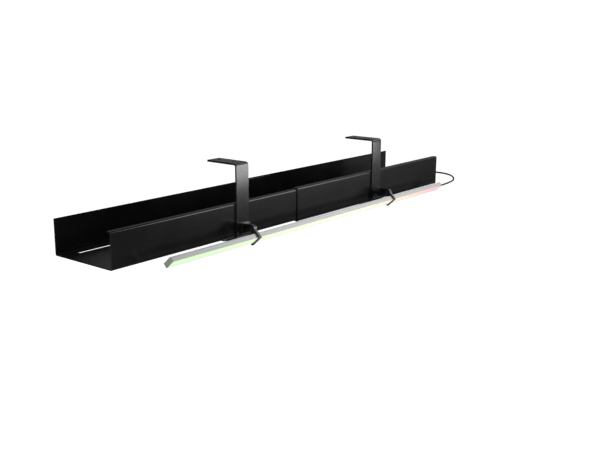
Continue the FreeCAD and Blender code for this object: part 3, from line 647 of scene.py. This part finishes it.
gland = {"length": 10 * mm, "root": 3.1 * mm, "tip": 2.2 * mm, "straight": 3 * mm, "chamfer": 0.25 * mm,
         "shoulder": 0.3 * mm, "cuts": 4, "cutsShort": 0.8 * mm, "cutDeep": 0.55 * mm, "bore": 1.75 * mm,
         "sides": 40,
         # along one groove: its floor's two ends, its far lip, and the gap to the next groove
         "floorFrom": 0.15 * mm, "floorTo": 0.6 * mm, "farLip": 0.75 * mm, "landShort": 0.2 * mm,
         "nearDrop": 0.12 * mm, "farDrop": 0.06 * mm}


def glandRadius(spec, x):  # of the tapered part
    share = (x - spec["straight"]) / (spec["length"] - spec["straight"])
    return spec["root"] + (spec["tip"] - spec["root"]) * share


def glandCut(spec, near, pitch):  # one groove with soft lips and the land behind it
    outer = glandRadius(spec, near)
    inner = outer - spec["cutDeep"]
    return [(near, outer - spec["nearDrop"]), (near + spec["floorFrom"], inner),
            (near + spec["floorTo"], inner), (near + spec["farLip"], outer - spec["farDrop"]),
            (near + pitch - spec["landShort"], glandRadius(spec, near + pitch))]


def makeGland(spec):
    low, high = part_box("cord_gland")
    centre = (low + high) / 2
    straight, length, chamfer = spec["straight"], spec["length"], spec["chamfer"]
    profile = [(0.0, spec["root"]), (straight - spec["shoulder"], spec["root"]),
               (straight, spec["root"] - chamfer)]
    pitch = (length - straight - spec["cutsShort"]) / spec["cuts"]
    for i in range(spec["cuts"]):
        profile += glandCut(spec, straight + spec["shoulder"] + i * pitch, pitch)
    profile += [(length - chamfer, spec["tip"]), (length, spec["tip"] - chamfer), (length, spec["bore"])]
    rings = [[(low.x + x, centre.y + radius * math.cos(a), centre.z + radius * math.sin(a))
              for a in roundSection(spec["sides"])] for x, radius in profile]
    work = bmesh.new()
    skin(work, rings)
    thing = linkMesh("cordGland", work, "cord_black")
    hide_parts("cord_gland")
    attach(thing, "light")
    return thing


glandPiece = makeGland(gland)


tie = {"wide": 9 * mm, "thick": 0.55 * mm, "corner": 2.2 * mm, "segments": 7, "softEdge": 0.18 * mm,
       "sideIn": 0.65 * mm, "floorGap": 0.05 * mm, "topIn": 0.1 * mm, "closing": 0.2 * mm,
       "lap": 9 * mm, "lapSteps": 8, "lapCurl": 0.12 * mm}


def layStrip(work, points, spec):  # a band with softened edges along a line in the XZ plane
    half, edge = spec["wide"] / 2, spec["softEdge"]
    section = [(-half, 0.5), (-half + edge, 1.0), (half - edge, 1.0), (half, 0.5), (half - edge, 0.0),
               (-half + edge, 0.0)]  # place across the band and share of its thickness
    rings = []
    for i, here in enumerate(points):
        ahead = aheadAt(points, i)
        out = Vector((ahead.z, 0, -ahead.x)) * spec["thick"]
        rings.append([here + Vector((0, across, 0)) + out * level for across, level in section])
    skin(work, rings)


def makeTie(spec):
    low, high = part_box("cord_tie")
    corner, middle = spec["corner"], (low.y + high.y) / 2
    left, right = low.x + spec["sideIn"] + corner, high.x - spec["sideIn"] - corner
    top = high.z - spec["thick"] - spec["topIn"]
    under, over = low.z + spec["floorGap"] + corner, top - corner
    path = []
    for x, z, start in ((left, under, 180), (right, under, 270), (right, over, 0), (left, over, 90)):
        path += [Vector((x + corner * math.cos(a), middle, z + corner * math.sin(a)))
                 for a in quarter(start, spec["segments"])]
    work = bmesh.new()
    layStrip(work, path + [path[0] + Vector((0, 0, -spec["closing"]))], spec)
    lapStart = Vector((right, middle, top + spec["thick"]))
    shares = [i / spec["lapSteps"] for i in range(spec["lapSteps"] + 1)]
    layStrip(work, [lapStart + Vector((-spec["lap"] * s, 0, spec["lapCurl"] * s ** 3)) for s in shares], spec)
    thing = linkMesh("cordTie", work, "tie_black", smooth=False)
    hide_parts("cord_tie")
    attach(thing, "right_unit")
    return thing


tiePiece = makeTie(tie)


plug = {
    "corner": 2.6 * mm, "ribs": 4, "ribDeep": 0.45 * mm, "ribFrom": 0.44, "ribTo": 0.78,
    "ribGroove": (0.18, 0.45, 0.63),  # shares of the pitch: down, rising, up again
    "grooveHigh": 0.97, "fullest": 0.98,
    # the grip's neck and its far end: shares of its length, width and height
    "neck": [(0.0, 0.36, 0.56), (0.03, 0.42, 0.66), (0.14, 0.47, 0.72), (0.2, 0.6, 0.8), (0.27, 0.8, 0.92),
             (0.34, 0.93, 0.985), (0.4, 0.985, 1.0)],
    "end": [(0.82, 1.0, 1.0), (0.96, 1.0, 1.0), (0.985, 0.97, 0.96), (1.0, 0.92, 0.88)],
    "sheet": 0.45 * mm, "shellCorner": 0.5 * mm, "mouthCorner": 0.25 * mm, "flare": 0.25 * mm,
    "shellIn": 0.4 * mm, "lip": 0.15 * mm, "deepTo": 1 * mm,
    "window": 1.9 * mm, "windowAt": 5.2 * mm, "windowOff": 2.6 * mm,
    "tongue": 1.6 * mm, "tongueLong": 9.4 * mm, "tongueBack": 5.2 * mm, "tongueDown": 0.6 * mm,
    "tongueEdge": 0.15 * mm, "padEdge": 0.04 * mm,
    "pads": 4, "padPitch": 2.3 * mm, "padSize": (6.2 * mm, 1.0 * mm, 0.12 * mm), "padBack": 4.4 * mm,
    "padUp": 0.25 * mm,
}


def roundedSection(x, y, z, wide, high, corner, count=6):
    points = []
    for sideY, sideZ, start in ((1, 1, 0), (-1, 1, 90), (-1, -1, 180), (1, -1, 270)):
        middleY, middleZ = y + sideY * (wide / 2 - corner), z + sideZ * (high / 2 - corner)
        points += [(x, middleY + corner * math.cos(a), middleZ + corner * math.sin(a))
                   for a in quarter(start, count)]
    return points


def addBlock(work, centre, size):
    bmesh.ops.create_cube(work, size=1.0, matrix=Matrix.Translation(centre) @ Matrix.Diagonal((*size, 1)))


def makePlugGrip(spec):
    low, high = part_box("plug_body")
    y, z = (low.y + high.y) / 2, (low.z + high.z) / 2
    wide, tall, long = high.y - low.y, high.z - low.z, high.x - low.x
    stations = list(spec["neck"])
    pitch = (spec["ribTo"] - spec["ribFrom"]) / spec["ribs"]
    dip = 1 - 2 * spec["ribDeep"] / wide
    down, rising, full = (share * pitch for share in spec["ribGroove"])
    for i in range(spec["ribs"]):
        near = spec["ribFrom"] + i * pitch
        stations += [(near, 1.0, 1.0), (near + down, dip, spec["grooveHigh"]),
                     (near + rising, dip, spec["grooveHigh"]), (near + full, 1.0, 1.0)]
    stations += spec["end"]
    rings = []
    for share, across, up in stations:
        corner = min(spec["corner"], tall * up / 2 * spec["fullest"], wide * across / 2 * spec["fullest"])
        rings.append(roundedSection(low.x + share * long, y, z, wide * across, tall * up, corner))
    work = bmesh.new()
    skin(work, rings)
    thing = linkMesh("plugGrip", work, "cord_black")
    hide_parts("plug_body")
    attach(thing, "right_unit")
    return thing


def cutWindows(thing, low, high, spec):  # the two square holes in the shell's upper face
    cutter = bmesh.new()
    for side in (-1, 1):
        x = low.x + spec["windowAt"] + spec["window"] / 2
        y = (low.y + high.y) / 2 + side * spec["windowOff"]
        bmesh.ops.create_cube(cutter, size=spec["window"], matrix=Matrix.Translation((x, y, high.z)))
    tool = linkMesh("shellWindows", cutter, "plug_metal", smooth=False)
    boolean = thing.modifiers.new("windows", "BOOLEAN")
    boolean.operation = "DIFFERENCE"
    boolean.object = tool
    boolean.solver = "EXACT"
    bpy.context.view_layer.update()
    shaped = bpy.data.meshes.new_from_object(thing.evaluated_get(bpy.context.evaluated_depsgraph_get()))
    thing.modifiers.clear()
    thing.data = shaped
    bpy.data.objects.remove(tool)


def makePlugShell(spec):
    low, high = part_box("plug_shell")
    y, z = (low.y + high.y) / 2, (low.z + high.z) / 2
    wide, tall = high.y - low.y, high.z - low.z
    # place along the shell, how much smaller the section is and how round its corners are
    outline = [(low.x - spec["shellIn"], 0.0, spec["shellCorner"]),
               (high.x - spec["lip"], 0.0, spec["shellCorner"]),
               (high.x, spec["flare"], spec["shellCorner"]),
               (high.x, 2 * spec["sheet"], spec["mouthCorner"]),
               (low.x + spec["deepTo"], 2 * spec["sheet"], spec["mouthCorner"])]
    work = bmesh.new()
    skin(work, [roundedSection(x, y, z, wide - less, tall - less, corner, 3) for x, less, corner in outline])
    thing = linkMesh("plugShell", work, "plug_metal", smooth=False)
    cutWindows(thing, low, high, spec)
    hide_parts("plug_shell")
    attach(thing, "right_unit")
    return thing


def makePlugTongue(spec):
    low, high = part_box("plug_shell")
    y, z = (low.y + high.y) / 2, (low.z + high.z) / 2
    work = bmesh.new()
    size = (spec["tongueLong"], high.y - low.y - 3 * spec["sheet"], spec["tongue"])
    addBlock(work, (high.x - spec["tongueBack"], y, z - spec["tongueDown"]), size)
    bmesh.ops.bevel(work, geom=work.edges[:], offset=spec["tongueEdge"], segments=2, affect="EDGES")
    thing = linkMesh("plugTongue", work, "cord_black", smooth=False)
    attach(thing, "right_unit")
    return thing


def makePlugContacts(spec):
    low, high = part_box("plug_shell")
    y, z = (low.y + high.y) / 2, (low.z + high.z) / 2
    work = bmesh.new()
    for i in range(spec["pads"]):
        across = (i - (spec["pads"] - 1) / 2) * spec["padPitch"]
        addBlock(work, (high.x - spec["padBack"], y + across, z + spec["padUp"]), spec["padSize"])
    bmesh.ops.bevel(work, geom=work.edges[:], offset=spec["padEdge"], segments=1, affect="EDGES")
    thing = linkMesh("plugContacts", work, "plug_metal", smooth=False)
    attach(thing, "right_unit")
    return thing


gripPiece = makePlugGrip(plug)
shellPiece = makePlugShell(plug)
tonguePiece = makePlugTongue(plug)
padPiece = makePlugContacts(plug)
print("cord's own pieces made")


view = {"place": (-1.0838, -0.8603, 0.1951), "turn": 51.56, "down": 13.32, "roll": 0.34, "lens": 50.0,
        "sensor": 36.0, "nearest": 0.01}


def addCamera(spec):
    data = bpy.data.cameras.new("camera")
    data.lens = spec["lens"]
    data.sensor_width = spec["sensor"]
    data.clip_start = spec["nearest"]
    thing = bpy.data.objects.new("camera", data)
    bpy.context.scene.collection.objects.link(thing)
    turn = Matrix.Rotation(math.radians(-spec["turn"]), 4, "Z")
    tilt = Matrix.Rotation(math.radians(90 - spec["down"]), 4, "X")
    roll = Matrix.Rotation(math.radians(spec["roll"]), 4, "Z")
    thing.matrix_world = Matrix.Translation(spec["place"]) @ turn @ tilt @ roll
    bpy.context.scene.camera = thing


floorLook = {"down": 0.71, "size": 30.0, "tones": (0.82, 0.8364), "clouds": 2.0, "glow": 0.92, "rough": 0.8,
             "specular": 0.1}


def addFloor(spec):
    size, depth = spec["size"], -spec["down"]
    work = bmesh.new()
    corners = ((-size, -size), (size, -size), (size, size), (-size, size))
    work.faces.new([work.verts.new((x, y, depth)) for x, y in corners])
    mesh = bpy.data.meshes.new("floor")
    work.to_mesh(mesh)
    work.free()
    floor = bpy.data.objects.new("floor", mesh)
    bpy.context.scene.collection.objects.link(floor)
    material, tree, surface = startMaterial("paleFloor", Roughness=spec["rough"],
                                            Specular_IOR_Level=spec["specular"],
                                            Emission_Color=(1.0, 1.0, 1.0, 1.0),
                                            Emission_Strength=spec["glow"])
    cloud = noise(tree, placed(tree), spec["clouds"], 2.0)
    feed(tree, surface.inputs["Base Color"], mixColour(tree, cloud, *[grey(tone) for tone in spec["tones"]]))
    # clear from below, so the part's underside can be seen
    under = tree.nodes.new("ShaderNodeNewGeometry").outputs["Backfacing"]
    both = addNode(tree, "ShaderNodeMixShader", Fac=under)
    feed(tree, both.inputs[1], surface.outputs[0])
    feed(tree, both.inputs[2], tree.nodes.new("ShaderNodeBsdfTransparent").outputs[0])
    feed(tree, tree.get_output_node("ALL").inputs["Surface"], both.outputs[0])
    mesh.materials.append(material)
    floor.visible_glossy = floor.visible_diffuse = False  # the sky's lower half lights the part instead


softboxes = {
    # turn from the front towards the right, up and lean in degrees, far and size in metres
    "key": {"turn": 44.6, "up": 6.0, "lean": 12.0, "far": 3.0, "size": (1.12, 1.66), "power": 40.0},
    "top": {"turn": 70.0, "up": 36.0, "lean": 0.0, "far": 2.6, "size": (0.95, 1.35), "power": 6.6},
    "fill": {"turn": -62.0, "up": 12.0, "lean": 0.0, "far": 2.2, "size": (1.0, 1.0), "power": 6.0},
    # the next three are mirrored only towards the right, the back and from above
    "left": {"turn": -35.0, "up": -16.0, "lean": 0.0, "far": 1.3, "size": (1.4, 0.5), "power": 4.5},
    "rear": {"turn": 145.0, "up": -16.0, "lean": 0.0, "far": 1.3, "size": (1.4, 0.5), "power": 4.5},
    "crown": {"turn": -120.0, "up": 42.0, "lean": 0.0, "far": 2.2, "size": (1.3, 1.3), "power": 9.0},
}
target = Vector((0.0, -0.02, -0.08))  # what the softboxes look at


def addSoftbox(name, spec, aim):
    data = bpy.data.lights.new(name, "AREA")
    data.shape = "RECTANGLE"
    data.size, data.size_y = spec["size"]
    data.energy = spec["power"]
    turn, up, lean = (math.radians(spec[key]) for key in ("turn", "up", "lean"))
    away = Vector((math.sin(turn) * math.cos(up), -math.cos(turn) * math.cos(up), math.sin(up)))
    thing = bpy.data.objects.new(name, data)
    thing.location = aim + away * spec["far"]
    thing.rotation_euler = (away.to_track_quat("Z", "Y") @ Quaternion((0, 0, 1), lean)).to_euler()
    thing.visible_camera = False
    bpy.context.scene.collection.objects.link(thing)


sky = {
    # height of the direction (-1 straight down, 1 straight up) and how bright it is there
    "levels": [(-1.0, 0.6), (-0.36, 0.6), (-0.28, 0.1), (-0.06, 0.1), (0.06, 0.17), (0.26, 0.17),
               (0.34, 0.42), (0.52, 0.42), (0.64, 0.12), (1.0, 0.12)],
    "seen": 1.32,  # behind the part, as white as the floor
}


def addSky(spec):
    world = bpy.data.worlds.new("studioSky")
    bpy.context.scene.world = world
    world.use_nodes = True
    tree = world.node_tree
    tree.nodes.clear()
    where = tree.nodes.new("ShaderNodeTexCoord").outputs["Generated"]
    height = addNode(tree, "ShaderNodeSeparateXYZ", Vector=where).outputs[2]
    ramp = fillRamp(tree, [((up + 1) / 2, grey(level)) for up, level in spec["levels"]])
    feed(tree, ramp.inputs[0], fromTo(tree, height, -1.0, 1.0))
    strength = tree.nodes.new("ShaderNodeMix")
    feed(tree, strength.inputs[0], tree.nodes.new("ShaderNodeLightPath").outputs["Is Camera Ray"])
    feed(tree, strength.inputs[2], ramp.outputs[0])
    feed(tree, strength.inputs[3], spec["seen"])
    background = addNode(tree, "ShaderNodeBackground", Strength=strength.outputs[0])
    output = tree.nodes.new("ShaderNodeOutputWorld")
    tree.links.new(background.outputs[0], output.inputs[0])


addCamera(view)
addFloor(floorLook)
for name, spec in softboxes.items():
    addSoftbox(name + "Light", spec, target)
addSky(sky)
bpy.context.scene.view_settings.view_transform = "Standard"
print("camera, floor and lights ready")

bpy.context.view_layer.update()
